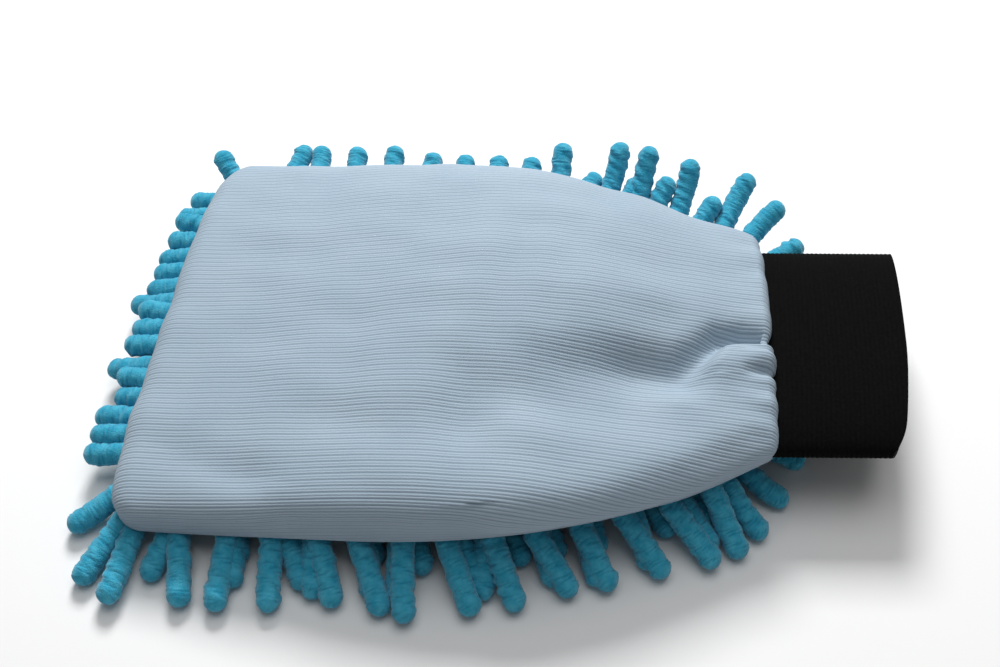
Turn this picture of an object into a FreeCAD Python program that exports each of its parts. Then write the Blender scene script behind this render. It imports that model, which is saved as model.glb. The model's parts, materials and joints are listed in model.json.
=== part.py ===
"""Chenille car-wash mitt, lying pile down on a flat surface. Millimetres.

+X runs from the fingertip end to the cuff, +Y across the hand, +Z up from the surface.
The origin is the centre of the footprint, on the surface that the pile stands on.

The mitt is a bag of two sewn sides. The back of the hand is ribbed cloth over thin wadding
and a lining. The palm is a knitted base cloth with rows of chenille noodles and a lining.
Both sides gather into a loop of wide woven elastic, the cuff, which folds at the gathers
and whose upper wall lifts to let the hand in.
"""
import FreeCAD, Part

import math
import os

Vector = FreeCAD.Vector

# ---- driving dimensions ----
BODY_LENGTH = 221.0          # fingertip seam to cuff seam
BODY_HALF_WIDTH = 86.0
NECK_HALF_WIDTH = 53.0
CORNER_RADIUS = 13.0         # fingertip corners, in plan
TAPER_LENGTH = 78.0          # the stretch where the body narrows to the neck
BODY_CROWN = 38.5            # height of the puffed back above the base cloth
TIP_CROWN = 20.0
NECK_CROWN = 22.0

PILE_HEIGHT = 18.0           # base cloth above the surface
NOODLE_RADIUS = 4.0
NOODLE_SINK = 0.3            # how far a soft noodle flattens against the surface
ROW_COUNT = 14
ROW_PITCH = 14.8
NOODLE_PITCH = 9.3
NOODLE_SLOPE = 34.0          # degrees below level, for noodles that lie under the palm
RIM_NOODLE_LENGTH = 32.0     # noodles at the edges lie out flatter and at full length
RIM_DRIFT = 0.30             # edge noodles drift this much towards the cuff
END_ROW_INSET = 7.5          # from the fingertip seam to the first row

BACK_CLOTH = 1.2
WADDING = 3.6
LINING = 0.8
BASE_CLOTH = 1.4
SEAM_ALLOWANCE_HEIGHT = 2.6
SEAM_ALLOWANCE_WIDTH = 3.0
THREAD = 0.4

CUFF_HALF_WIDTH = 46.5       # the loop lying flat
CUFF_HALF_HEIGHT = 9.5
CUFF_WALL = 1.7
CUFF_LENGTH = 45.0           # visible at the folded sides
CUFF_BOW = 5.0               # the mouth stands out this much in the middle
CUFF_MIDDLE_Z = 30.0
FOLD_GAP = 0.3               # between pieces on different sides of a joint
GATHER_LENGTH = 20.0         # the soft gathered neck, which bends
ALLOWANCE_LENGTH = 6.0       # raw edges turned into the cuff
ALLOWANCE_THICKNESS = 1.6
FINGERTIP_STATIONS = (1.2, 4.0, 9.0, 17.0)   # where the round fingertip end is drawn
BODY_STATIONS = 14           # evenly spaced from there to the open end
JOIN_LAP = 12.0              # the elastic's two ends overlap by this much
JOIN_THICKNESS = 1.5
STITCH = (0.9, 3.0, 0.5)     # thickness, length and height of one stitch
STITCH_ROWS = (-4.0, 4.0)
STITCH_PITCH = 4.4

# ---- places that follow from them ----
ROD_DROP = PILE_HEIGHT - 2 * NOODLE_RADIUS + NOODLE_SINK     # from a noodle's root to its tip
RIM_LEVEL = math.sqrt((RIM_NOODLE_LENGTH - 2 * NOODLE_RADIUS) ** 2 - ROD_DROP ** 2)
TIP_REACH = RIM_LEVEL + NOODLE_RADIUS - END_ROW_INSET        # noodles stand out past the seam
TOTAL_LENGTH = TIP_REACH + BODY_LENGTH + CUFF_LENGTH + CUFF_BOW
TIP_X = TIP_REACH - TOTAL_LENGTH / 2
NECK_X = TIP_X + BODY_LENGTH
POCKET_END_X = NECK_X - GATHER_LENGTH
CUFF_END_X = NECK_X + CUFF_LENGTH
BASE_Z = PILE_HEIGHT
INNER_BASE_Z = BASE_Z + BASE_CLOTH
SKIRT = 4.0                  # the nested solids reach this far down before they are trimmed
PAST_END = 1.0
FAR = 400.0


def smooth(t):
    """0 to 1 with level ends."""
    t = min(1.0, max(0.0, t))
    return t * t * (3 - 2 * t)


def half_width(x):
    """Half the body's width at x: round fingertip corners, then a taper to the neck."""
    from_tip = x - TIP_X
    width = BODY_HALF_WIDTH
    if from_tip < CORNER_RADIUS:
        short = CORNER_RADIUS - max(0.0, from_tip)
        width -= CORNER_RADIUS - math.sqrt(max(0.0, CORNER_RADIUS ** 2 - short ** 2))
    narrowing = smooth((x - (NECK_X - TAPER_LENGTH)) / TAPER_LENGTH)
    return width - (BODY_HALF_WIDTH - NECK_HALF_WIDTH) * narrowing


def crown(x):
    """Height of the back over the base cloth along the middle of the hand."""
    from_tip = x - TIP_X
    rise = TIP_CROWN + (BODY_CROWN - TIP_CROWN) * smooth(from_tip / 90.0)
    fall = (BODY_CROWN - NECK_CROWN) * smooth((x - (NECK_X - 95.0)) / 95.0)
    round_end = min(1.0, max(0.0, from_tip / 22.0))
    return (rise - fall) * math.sqrt(1 - (1 - round_end) ** 2)


def arch(x, width, low, high, squareness=2.7, count=17):
    """A cushion-shaped arch across the mitt in the plane at x, from one side to the other."""
    points = []
    for i in range(count):
        angle = math.pi * i / (count - 1)
        across, up = math.cos(angle), math.sin(angle)
        y = width * math.copysign(abs(across) ** (2 / squareness), across)
        z = low + (high - low) * up ** (2 / squareness)
        points.append(Vector(x, y, z))
    curve = Part.BSplineCurve()
    curve.interpolate(points)
    return curve.toShape()


def body_section(x, shape_x, inset):
    """A closed wire across the mitt: a cushion-shaped arch with a straight skirt under it."""
    width = half_width(shape_x) - inset
    top = BASE_Z + crown(shape_x) - inset
    floor_z = INNER_BASE_Z - SKIRT
    corners = [
        Vector(x, -width, INNER_BASE_Z),
        Vector(x, -width, floor_z),
        Vector(x, width, floor_z),
        Vector(x, width, INNER_BASE_Z),
    ]
    edges = [Part.makeLine(corners[i], corners[i + 1]) for i in range(3)]
    return Part.Wire([arch(x, width, INNER_BASE_Z, top)] + edges)


def body_solid(inset, past_end):
    """The mitt's volume at that inset, rounded at the fingertips and square at the open end."""
    reach = POCKET_END_X - TIP_X
    first = FINGERTIP_STATIONS[-1]
    evenly = [first + (reach - first) * i / BODY_STATIONS for i in range(1, BODY_STATIONS + 1)]
    wires = []
    for station in FINGERTIP_STATIONS + tuple(evenly):
        shift = inset * (1 - station / reach) ** 2
        wires.append(body_section(TIP_X + station + shift, TIP_X + station, inset))
    if past_end:
        wires.append(body_section(POCKET_END_X + past_end, POCKET_END_X, inset))
    return Part.makeLoft(wires, True, True)


def slab(low_z, high_z):
    """Everything between two heights."""
    return Part.makeBox(2 * FAR, 2 * FAR, high_z - low_z, Vector(-FAR, -FAR, low_z))


def write(node, shape):
    solids = [s for s in shape.Solids if s.Volume > 0.01]
    kept = solids[0] if len(solids) == 1 else Part.makeCompound(solids)
    kept.exportStep(os.path.join("parts", node + ".step"))
    valid = all(s.isValid() for s in solids)
    volume = sum(s.Volume for s in solids) / 1000
    print(f"{node}: {len(solids)} solids, {volume:.2f} cm3, valid {valid}")


def make_pocket():
    """The two sides of the bag, layer by layer, each layer the space between two nested solids."""
    under_cloth = BACK_CLOTH
    under_allowance = under_cloth + SEAM_ALLOWANCE_WIDTH
    under_thread = under_allowance + THREAD
    under_wadding = under_cloth + WADDING
    outside = body_solid(0.0, 0.0)
    nested = {inset: body_solid(inset, PAST_END) for inset in
              (under_cloth, under_allowance, under_thread, under_wadding, under_wadding + LINING)}
    pocket = Part.makeBox(FAR, 2 * FAR, FAR, Vector(POCKET_END_X - FAR, -FAR, 0))

    def layer(outer, inner, low_z, high_z):
        space = nested[outer] if inner is None else nested[outer].cut(nested[inner])
        return space.common(slab(low_z, high_z)).common(pocket)

    seam_top = INNER_BASE_Z + SEAM_ALLOWANCE_HEIGHT
    thread_z = INNER_BASE_Z + SEAM_ALLOWANCE_HEIGHT / 2
    lining_top = INNER_BASE_Z + LINING
    write("back_panel", outside.cut(nested[under_cloth]).common(slab(INNER_BASE_Z, FAR)))
    write("palm_base_cloth", outside.common(slab(BASE_Z, INNER_BASE_Z)))
    write("back_wadding", layer(under_cloth, under_wadding, seam_top, FAR))
    write("perimeter_seam_allowance", layer(under_cloth, under_allowance, INNER_BASE_Z, seam_top))
    write("perimeter_seam_thread",
          layer(under_allowance, under_thread, thread_z, thread_z + THREAD))
    write("palm_lining", layer(under_wadding, None, INNER_BASE_Z, lining_top))
    write("back_lining", layer(under_wadding, under_wadding + LINING, lining_top, FAR))


def cuff_section(x, inset):
    """A closed wire of the flattened elastic loop: an upper arch and a lower one."""
    width, height = CUFF_HALF_WIDTH - inset, CUFF_HALF_HEIGHT - inset
    over = arch(x, width, CUFF_MIDDLE_Z, CUFF_MIDDLE_Z + height, 2.2)
    under = arch(x, width, CUFF_MIDDLE_Z, CUFF_MIDDLE_Z - height, 2.2)
    return Part.Wire([over, under])


def neck_section(x, inset):
    """The pocket's open end as a closed wire of two arches, the lower one nearly flat."""
    width = half_width(POCKET_END_X) - inset
    over = arch(x, width, INNER_BASE_Z, BASE_Z + crown(POCKET_END_X) - inset)
    under = arch(x, width, INNER_BASE_Z, BASE_Z + inset)
    return Part.Wire([over, under])


def make_neck():
    """The gathered cloth between the pocket and the cuff, in a back half and a palm half."""
    start_x, end_x = POCKET_END_X + FOLD_GAP, NECK_X - FOLD_GAP
    thickness = BACK_CLOTH + LINING

    def tube(inset, past):
        first = neck_section(start_x - past, inset)
        return Part.makeLoft([first, cuff_section(end_x + past, inset)], True, False)

    ring = tube(0.0, 0.0).cut(tube(thickness, 1.0))
    side = [
        Vector(start_x - 5, 0, INNER_BASE_Z),
        Vector(start_x, 0, INNER_BASE_Z),
        Vector(end_x, 0, CUFF_MIDDLE_Z),
        Vector(end_x + 5, 0, CUFF_MIDDLE_Z),
        Vector(end_x + 5, 0, FAR),
        Vector(start_x - 5, 0, FAR),
    ]
    above = Part.Face(Part.makePolygon(side + side[:1])).extrude(Vector(0, 2 * FAR, 0))
    above.translate(Vector(0, -FAR, 0))
    write("neck_gather_back", ring.common(above))
    write("neck_gather_palm", ring.cut(above))


def make_cuff():
    """The elastic loop in two halves, its lapped join and the raw edges turned into it."""
    bow_radius = (CUFF_HALF_WIDTH ** 2 + CUFF_BOW ** 2) / (2 * CUFF_BOW)
    bow_centre = Vector(CUFF_END_X + CUFF_BOW - bow_radius, 0, -FAR)
    bow = Part.makeCylinder(bow_radius, 2 * FAR, bow_centre)

    def tube(inset, start_x, end_x):
        return Part.makeLoft([cuff_section(start_x, inset), cuff_section(end_x, inset)], True, True)

    past_x = CUFF_END_X + CUFF_BOW + 5
    band = tube(0.0, NECK_X, past_x).cut(tube(CUFF_WALL, NECK_X - 1, past_x + 1)).common(bow)
    lower_half = slab(-FAR, CUFF_MIDDLE_Z - FOLD_GAP / 2)
    upper_half = slab(CUFF_MIDDLE_Z + FOLD_GAP / 2, FAR)
    write("cuff_band_lower", band.common(lower_half))
    write("cuff_band_upper", band.common(upper_half))

    ring_end_x = NECK_X + ALLOWANCE_LENGTH
    raw_edge = tube(CUFF_WALL, NECK_X, ring_end_x).cut(
        tube(CUFF_WALL + ALLOWANCE_THICKNESS, NECK_X - 1, ring_end_x + 1))
    write("cuff_seam_allowance_lower", raw_edge.common(lower_half))
    write("cuff_seam_allowance_upper", raw_edge.common(upper_half))

    inner = CUFF_WALL + ALLOWANCE_THICKNESS
    thread_x = NECK_X + ALLOWANCE_LENGTH / 2
    thread = tube(inner, thread_x, thread_x + THREAD).cut(
        tube(inner + THREAD, thread_x - 1, thread_x + THREAD + 1))
    write("cuff_seam_thread_lower", thread.common(lower_half))
    write("cuff_seam_thread_upper", thread.common(upper_half))

    lap_x = ring_end_x + FOLD_GAP
    lap_ring = tube(CUFF_WALL, lap_x, past_x).cut(
        tube(CUFF_WALL + JOIN_THICKNESS, lap_x - 1, past_x + 1)).common(bow)
    lap_zone = Part.makeBox(FAR, JOIN_LAP, CUFF_MIDDLE_Z, Vector(0, -JOIN_LAP / 2, 0))
    write("cuff_join_lap", lap_ring.common(lap_zone))

    thick, long, high = STITCH
    top_of_lap = CUFF_MIDDLE_Z - CUFF_HALF_HEIGHT + CUFF_WALL + JOIN_THICKNESS
    stitches = []
    for y in STITCH_ROWS:
        x = lap_x + 2.0
        while x + long < CUFF_END_X + 1.0:
            corner = Vector(x, y - thick / 2, top_of_lap + 0.12)
            stitches.append(Part.makeBox(long, thick, high, corner))
            x += STITCH_PITCH
    write("cuff_join_stitches", Part.makeCompound(stitches))


def noodle(root, heading, length):
    """One chenille noodle: a round-ended rod from under the base cloth down to the surface."""
    r = NOODLE_RADIUS
    start = Vector(root[0], root[1], BASE_Z - r)
    level = math.sqrt((length - 2 * r) ** 2 - ROD_DROP ** 2)
    norm = math.hypot(*heading)
    end = start + Vector(heading[0] / norm * level, heading[1] / norm * level, -ROD_DROP)
    axis = (end - start).normalize()
    side = axis.cross(Vector(0, 0, 1)).normalize()
    half = math.sqrt(0.5)
    profile = Part.Wire([
        Part.makeLine(start - axis * r, end + axis * r),
        Part.Arc(end + axis * r, end + (axis + side) * (half * r), end + side * r).toShape(),
        Part.makeLine(end + side * r, start + side * r),
        Part.Arc(start + side * r, start + (side - axis) * (half * r), start - axis * r).toShape(),
    ])
    rod = Part.Face(profile).revolve(start, axis, 360)
    return rod.cut(slab(-FAR, 0)).Solids[0]


def noodle_places(row):
    """(root, heading, length) of each noodle in a row across the palm."""
    x = TIP_X + END_ROW_INSET + row * ROW_PITCH
    reach = half_width(x) - 5.0
    count = int(2 * reach // NOODLE_PITCH) + 1
    pitch = 2 * reach / (count - 1)
    palm_length = ROD_DROP / math.sin(math.radians(NOODLE_SLOPE)) + 2 * NOODLE_RADIUS
    tip_row, neck_row = row == 0, row == ROW_COUNT - 1
    along = 1 if neck_row else -1
    for i in range(count):
        y = -reach + i * pitch
        side = -1 if i == 0 else 1 if i == count - 1 else 0
        heading, length = (along, 0), palm_length
        if tip_row or neck_row:
            length = RIM_NOODLE_LENGTH
        if side and (tip_row or neck_row):
            heading = (along, side)
        elif side:
            heading, length = (RIM_DRIFT, side), RIM_NOODLE_LENGTH
        yield (x, y), heading, length


def make_pile():
    """Rows of noodles, each row one node, because each row is one cord locked into the cloth."""
    for row in range(ROW_COUNT):
        rods = [noodle(*place) for place in noodle_places(row)]
        write(f"noodle_row_{row + 1:02d}", Part.makeCompound(rods))


os.makedirs("parts", exist_ok=True)
make_pocket()
make_neck()
make_cuff()
make_pile()
print(f"length {TOTAL_LENGTH:.1f}, tip seam x {TIP_X:.1f}, neck x {NECK_X:.1f}")
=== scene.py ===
"""The looks of the chenille wash mitt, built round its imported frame.

Lengths in this script are millimetres until a mesh is made, because cloth and noodles are small.
The mitt lies pile down: +X to the cuff, +Y across the hand, +Z up through the back of the hand.
"""
import json
import math
import random

import bmesh
import bpy
import numpy as np
from mathutils import Euler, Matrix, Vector

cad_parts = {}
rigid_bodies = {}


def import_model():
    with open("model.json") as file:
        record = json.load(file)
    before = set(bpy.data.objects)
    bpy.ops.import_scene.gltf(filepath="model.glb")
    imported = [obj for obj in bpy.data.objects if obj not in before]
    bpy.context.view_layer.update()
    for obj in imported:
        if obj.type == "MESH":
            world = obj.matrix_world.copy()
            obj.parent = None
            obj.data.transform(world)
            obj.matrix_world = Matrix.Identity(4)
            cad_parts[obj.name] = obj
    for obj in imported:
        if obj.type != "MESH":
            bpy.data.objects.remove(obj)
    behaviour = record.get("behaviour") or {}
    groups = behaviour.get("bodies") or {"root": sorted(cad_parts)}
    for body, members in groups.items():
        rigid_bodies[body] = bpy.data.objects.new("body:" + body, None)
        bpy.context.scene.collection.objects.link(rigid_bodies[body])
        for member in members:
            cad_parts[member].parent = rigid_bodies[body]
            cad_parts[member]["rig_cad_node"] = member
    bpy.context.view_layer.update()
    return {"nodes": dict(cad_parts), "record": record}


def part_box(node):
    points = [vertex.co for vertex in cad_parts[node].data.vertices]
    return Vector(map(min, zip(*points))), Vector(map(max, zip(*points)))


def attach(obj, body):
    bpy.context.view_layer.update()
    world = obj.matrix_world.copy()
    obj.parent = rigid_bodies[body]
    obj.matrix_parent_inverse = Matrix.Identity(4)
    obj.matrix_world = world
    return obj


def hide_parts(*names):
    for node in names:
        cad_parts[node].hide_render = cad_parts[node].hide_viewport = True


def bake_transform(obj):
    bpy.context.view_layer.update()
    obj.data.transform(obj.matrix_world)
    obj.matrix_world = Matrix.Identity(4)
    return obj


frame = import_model()
MM = 0.001


# ---- places taken from the frame ----

def box_mm(node):
    low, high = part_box(node)
    return np.array(low) / MM, np.array(high) / MM


PALM_LOW, PALM_HIGH = box_mm("palm_base_cloth")
BACK_LOW, BACK_HIGH = box_mm("back_panel")
BAND_LOW, BAND_HIGH = box_mm("cuff_band_lower")
BAND_TOP = box_mm("cuff_band_upper")[1][2]
TIP_X = PALM_LOW[0] - 1.2
POCKET_END_X = BACK_HIGH[0]
NECK_X = BAND_LOW[0]
HALF_WIDTH = PALM_HIGH[1]
SEAM_Z = PALM_LOW[2]
APEX_Z = BACK_HIGH[2]
CUFF_END_X = BAND_HIGH[0]
CUFF_HALF_WIDTH = BAND_HIGH[1]
CUFF_Z = (BAND_LOW[2] + BAND_TOP) / 2
CUFF_HALF_HEIGHT = (BAND_TOP - BAND_LOW[2]) / 2

# ---- the mitt's own sizes ----
RIB_PITCH = 2.2
RIB_HEIGHT = 0.26
COLUMNS_PER_RIB = 8
CLOTH_THICKNESS = 1.1
MIDDLE_Y = -10.0              # the rib that runs straight along the hand and into the main crease
CORNER_RADIUS = 10.0
TIP_ROUND = 9.0               # the back rises this much round its fingertip edge
NEAR_SQUARENESS = 6.5         # how boxy the back's arch is towards each side
FAR_SQUARENESS = 2.5
NEAR_SLOPE = 0.40             # how much of its height it has lost at the near shoulder
NEAR_PUSH = 8.0               # how far the near shoulder stands out over its seam
ROLL_RADIUS = 5.0             # the cloth's edge rolls under before it meets the palm cloth
ROLL_ANGLE = math.radians(60)
ROLL_LIFT = ROLL_RADIUS * math.sin(ROLL_ANGLE)
ROLL_INSET = ROLL_RADIUS * (1 - math.cos(ROLL_ANGLE))
NECK_ROLL_X = NECK_X - 3.6    # here the back starts to roll over the end of the cuff
NECK_ROLL_RADIUS = 5.5
NECK_ROLL_ANGLES = (0.45, 2.0)
WADDING_INSETS = (2.0, 5.0)   # an inner layer's top and underside, in from the back cloth
BACK_LINING_INSETS = (5.4, 6.1)
PALM_CLOTH_RISE = (-0.1, -1.4)      # a palm layer's top and underside, over palm_z
PALM_LINING_RISE = (1.3, 0.6)
NOODLE_RADIUS = 4.1
ROW_COUNT = 14
ROW_PITCH = 14.8
END_ROW_INSET = 7.5
NOODLE_PITCH = 9.3            # along a row; the row at the fingertips is packed closer
TIP_NOODLE_PITCH = 7.6
NOODLE_SIDE_INSET = 7.5
LYING_Z = NOODLE_RADIUS - 0.2     # a tip's height when the noodle lies on the surface
CUFF_WALL = 1.7
CUFF_SQUARENESS = 2.2
CUFF_RIB_PITCH = 1.65
CUFF_FOOT_X = NECK_X - 4.0
CUFF_MOUTH_X = CUFF_END_X - 2.6
THREAD_RADIUS = 0.22


def smooth(t):
    t = np.clip(t, 0.0, 1.0)
    return t * t * (3 - 2 * t)


def bump(distance, width):
    return np.exp(-(distance / width) ** 2)


def running_length(steps):
    """The length from the start of a line to each of its points, from the steps between them."""
    return np.concatenate([[0], np.cumsum(steps)])


# ---- meshes ----

def new_mesh(name, points_mm, faces):
    mesh = bpy.data.meshes.new(name)
    mesh.from_pydata((np.asarray(points_mm, float) * MM).tolist(), [], faces)
    mesh.validate()
    mesh.shade_smooth()
    piece = bpy.data.objects.new(name, mesh)
    bpy.context.scene.collection.objects.link(piece)
    return piece


def grid_faces(rows, columns, first=0, wrap=False, flip=False):
    """Quads of a grid whose points are listed row by row."""
    faces = []
    for i in range(rows - 1):
        for j in range(columns if wrap else columns - 1):
            k = (j + 1) % columns
            quad = (first + i * columns + j, first + i * columns + k,
                    first + (i + 1) * columns + k, first + (i + 1) * columns + j)
            faces.append(quad[::-1] if flip else quad)
    return faces


def closed_sheet(name, outer, inner, row_step, column_step):
    """Cloth with a thickness: a fine outer grid, a coarser inner one, and a rim between them."""
    rows, columns = outer.shape[:2]
    inner = inner[::row_step, ::column_step]
    in_rows, in_columns = inner.shape[:2]
    points = np.concatenate([outer.reshape(-1, 3), inner.reshape(-1, 3)])
    base = rows * columns
    faces = grid_faces(rows, columns) + grid_faces(in_rows, in_columns, base, flip=True)

    def inner_index(i, j):
        return base + (i // row_step) * in_columns + j // column_step

    def stretch(places):
        ends = [inner_index(*places[0]), inner_index(*places[-1])]
        return tuple([i * columns + j for i, j in reversed(places)] + ends)

    for j in range(0, columns - 1, column_step):
        faces.append(stretch([(0, j + k) for k in range(column_step + 1)]))
        faces.append(stretch([(rows - 1, j + column_step - k) for k in range(column_step + 1)]))
    for i in range(0, rows - 1, row_step):
        faces.append(stretch([(i + row_step - k, 0) for k in range(row_step + 1)]))
        faces.append(stretch([(i + k, columns - 1) for k in range(row_step + 1)]))
    return new_mesh(name, points, faces)


def normals_of(grid):
    """Unit normals of a grid of points, pointing out. Points drawn together take a neighbour's."""
    along = np.gradient(grid, axis=0)
    across = np.gradient(grid, axis=1)
    normal = np.cross(along, across)
    length = np.linalg.norm(normal, axis=2, keepdims=True)
    normal = normal / np.maximum(length, 1e-9)
    for row, size in zip(normal, length[:, :, 0]):
        good = np.flatnonzero(size > 1e-6)
        row[:good[0]] = row[good[0]]
        row[good[-1] + 1:] = row[good[-1]]
    return normal


def merge_points(piece):
    """Joins points that lie on each other, where ribs end at a seam, and drops the empty faces."""
    shape = bmesh.new()
    shape.from_mesh(piece.data)
    bmesh.ops.remove_doubles(shape, verts=shape.verts, dist=1e-7)
    bmesh.ops.dissolve_degenerate(shape, edges=shape.edges, dist=1e-7)
    shape.to_mesh(piece.data)
    shape.free()


def tube_frames(line):
    """Two unit vectors across a path at each of its points, turned as little as possible."""
    tangent = np.gradient(line, axis=0)
    tangent /= np.linalg.norm(tangent, axis=1, keepdims=True)
    side = np.cross(tangent[0], (0.0, 0.0, 1.0))
    if np.linalg.norm(side) < 1e-3:
        side = np.array((1.0, 0.0, 0.0))
    sides, ups = [], []
    for direction in tangent:
        side = side - direction * (side @ direction)
        side /= np.linalg.norm(side)
        sides.append(side)
        ups.append(np.cross(direction, side))
    return np.array(sides), np.array(ups)


def smooth_path(line):
    """The path with each point drawn to the mean of its neighbours, for steady frames."""
    drawn = line.copy()
    drawn[1:-1] = (line[:-2] + line[1:-1] + line[2:]) / 3
    return drawn


def strip_along(name, line, across, up, ripple=0.0):
    """A bar of rectangular section that follows a path."""
    side, rise = tube_frames(line)
    wave = ripple * np.sin(np.arange(len(line)) * 2.1)
    corners = ((-across, -up), (across, -up), (across, up), (-across, up))
    points = np.stack([line + side * (a + wave)[:, None] + rise * b for a, b in
                       ((np.full(len(line), a), b) for a, b in corners)], axis=1)
    faces = grid_faces(len(line), 4, 0, wrap=True)
    last = (len(line) - 1) * 4
    faces += [(3, 2, 1, 0), (last, last + 1, last + 2, last + 3)]
    return new_mesh(name, points.reshape(-1, 3), faces)


def thread_tube(name, line, radius, around=6):
    side, up = tube_frames(line)
    angle = np.linspace(0, 2 * math.pi, around, endpoint=False)
    ring = (side[:, None, :] * np.cos(angle)[None, :, None]
            + up[:, None, :] * np.sin(angle)[None, :, None])
    points = line[:, None, :] + ring * radius
    faces = grid_faces(len(line), around, 0, wrap=True)
    last = (len(line) - 1) * around
    faces += [tuple(range(around))[::-1], tuple(range(last, last + around))]
    return new_mesh(name, points.reshape(-1, 3), faces)


def band_mesh(name, outer, inner):
    """A ring-shaped strip: two grids of rows along X that close round the loop."""
    rows = np.concatenate([outer, inner[::-1]])
    count, around = rows.shape[:2]
    faces = grid_faces(count, around, 0, wrap=True)
    last = (count - 1) * around
    faces += [(last + j, last + (j + 1) % around, (j + 1) % around, j) for j in range(around)]
    return new_mesh(name, rows.reshape(-1, 3), faces)


# ---- the mitt's shape ----

def half_width(x, side=0.0):
    """Half the mitt's width at x. The near side (-1) starts to narrow sooner than the far one."""
    from_tip = x - TIP_X
    short = np.clip(CORNER_RADIUS - from_tip, 0, CORNER_RADIUS)
    corner = CORNER_RADIUS - np.sqrt(CORNER_RADIUS ** 2 - short ** 2)
    near_drop = 43.3 * np.clip((x + 50.0) / (NECK_X + 52.4), 0, 1) ** 2.1 - 2.3
    far_drop = 34.0 * np.clip((x + 30.0) / (NECK_X + 30.0), 0, 1) ** 1.9 + 2.0
    near = (1 - side) / 2
    return HALF_WIDTH - corner - near_drop * near - far_drop * (1 - near)


def tip_bulge(y):
    """The fingertip seam isn't straight: it stands out in the middle and on the near side."""
    return 1.5 - 5.5 * (1 - np.clip(np.abs(y + 14) / 95, 0, 1) ** 4)


def neck_ease(x):
    """0 to 1 over the last centimetres before the neck, where the seams and the palm rise."""
    return smooth((x - (NECK_X - 34.0)) / 32.0)


def gather_ease(x):
    """0 to 1 over the cloth that is gathered at the neck."""
    return smooth((x - (NECK_X - 22)) / 22)


def warp(grid):
    """Moves points along X, so that the fingertip edge bulges and the neck edge runs aslant."""
    x, y = grid[..., 0], grid[..., 1]
    fade = 1 - smooth((x - TIP_X) / 70.0)
    slant = -0.048 * y * smooth((x - (NECK_X - 40)) / 36.0)
    grid[..., 0] = x + tip_bulge(y) * fade + slant
    return grid


def crown(x):
    """Height of the back over its rolled edge, along the middle of the hand."""
    from_tip = np.maximum(x - TIP_X, 0)
    edge = np.clip(from_tip / TIP_ROUND, 0, 1)
    rolled = TIP_ROUND * np.sqrt(1 - (1 - edge) ** 2)
    base = SEAM_Z + ROLL_LIFT
    rise = (APEX_Z - base - TIP_ROUND) * smooth(from_tip / 150.0) ** 0.85
    neck_top = CUFF_Z + CUFF_HALF_HEIGHT + 7.0 - base
    fall = (APEX_Z - base - neck_top) * smooth((x - (NECK_X - 95.0)) / 92.0)
    return rolled + rise - fall


def seam_z(x, side):
    """Height of the seam at each side (-1 near, +1 far). It sags at the fingertip corners."""
    sag = np.where(side < 0, 8.5, 3.5) * bump(x - TIP_X, 75.0)
    neck_rise = (CUFF_Z - 6.0 - SEAM_Z) * neck_ease(x)
    return SEAM_Z - sag + neck_rise


def arch(x, inset, count):
    """Points (y, z) of a cushion-shaped arch across the mitt at x, between its widest points."""
    angle = np.linspace(0, math.pi, count)
    across, up = -np.cos(angle), np.sin(angle)
    squareness = np.where(across < 0, NEAR_SQUARENESS, FAR_SQUARENESS)
    width = half_width(x, across) - inset
    y = width * np.sign(across) * np.abs(across) ** (2 / squareness)
    low = seam_z(x, across) + ROLL_LIFT
    top = SEAM_Z + ROLL_LIFT + float(crown(x)) - inset
    outward, rise = np.abs(y / width), up ** (2 / squareness)
    cuffward = smooth((x + 60.0) / 90.0)
    kept = 1 - np.where(across < 0, NEAR_SLOPE * (0.4 + 0.6 * cuffward), 0) * outward ** 1.4
    reach = NEAR_PUSH * cuffward * (1 - 0.6 * smooth((x - 52.0) / 38.0))
    push = np.where(across < 0, reach, 0) * rise * outward ** 3
    return y - push, low + (top - low) * kept * rise


def section(x, inset):
    """Points (y, z) of the back cloth's line at x: rolled under at both seams, over the arch."""
    y, z = arch(x, inset, 240)
    turn = np.linspace(ROLL_ANGLE, 0, 10, endpoint=False)
    inward, down = ROLL_RADIUS * (1 - np.cos(turn)), ROLL_RADIUS * np.sin(turn)
    near = (y[0] + inward, z[0] - down)
    far = (y[-1] - inward[::-1], z[-1] - down[::-1])
    return np.concatenate([near[0], y, far[0]]), np.concatenate([near[1], z, far[1]])


def stations():
    """Stations of the back cloth's rows along X: closer together at the tip and at the neck."""
    tip_roll = np.linspace(TIP_X - ROLL_RADIUS * ROLL_ANGLE, TIP_X, 6, endpoint=False)
    tip = TIP_X + 12 * (1 - np.cos(np.linspace(0, math.pi / 2, 10, endpoint=False)))
    middle = np.linspace(TIP_X + 12, NECK_ROLL_X - 32, 42, endpoint=False)
    neck = np.linspace(NECK_ROLL_X - 32, NECK_ROLL_X, 26, endpoint=False)
    turn = NECK_ROLL_ANGLES[1] - NECK_ROLL_ANGLES[0]
    roll = np.linspace(NECK_ROLL_X, NECK_ROLL_X + NECK_ROLL_RADIUS * turn, 13)
    return np.concatenate([tip_roll, tip, middle, neck, roll])


def row_at(station):
    """(points of a row as y and z, its x, how far it dips) at a station along the back cloth."""
    if station < TIP_X:
        turn = (TIP_X - station) / ROLL_RADIUS
        y, z = section(TIP_X, 0.0)
        return y, z, TIP_X + ROLL_RADIUS * (1 - math.cos(turn)), ROLL_RADIUS * math.sin(turn)
    if station <= NECK_ROLL_X:
        y, z = section(station, 0.0)
        return y, z, station, 0.0
    first = NECK_ROLL_ANGLES[0]
    turn = first + (station - NECK_ROLL_X) / NECK_ROLL_RADIUS
    inset = NECK_ROLL_RADIUS * (math.cos(first) - math.cos(turn))
    y, z = section(NECK_ROLL_X, inset)
    return y, z, NECK_ROLL_X + NECK_ROLL_RADIUS * (math.sin(turn) - math.sin(first)), 0.0


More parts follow.
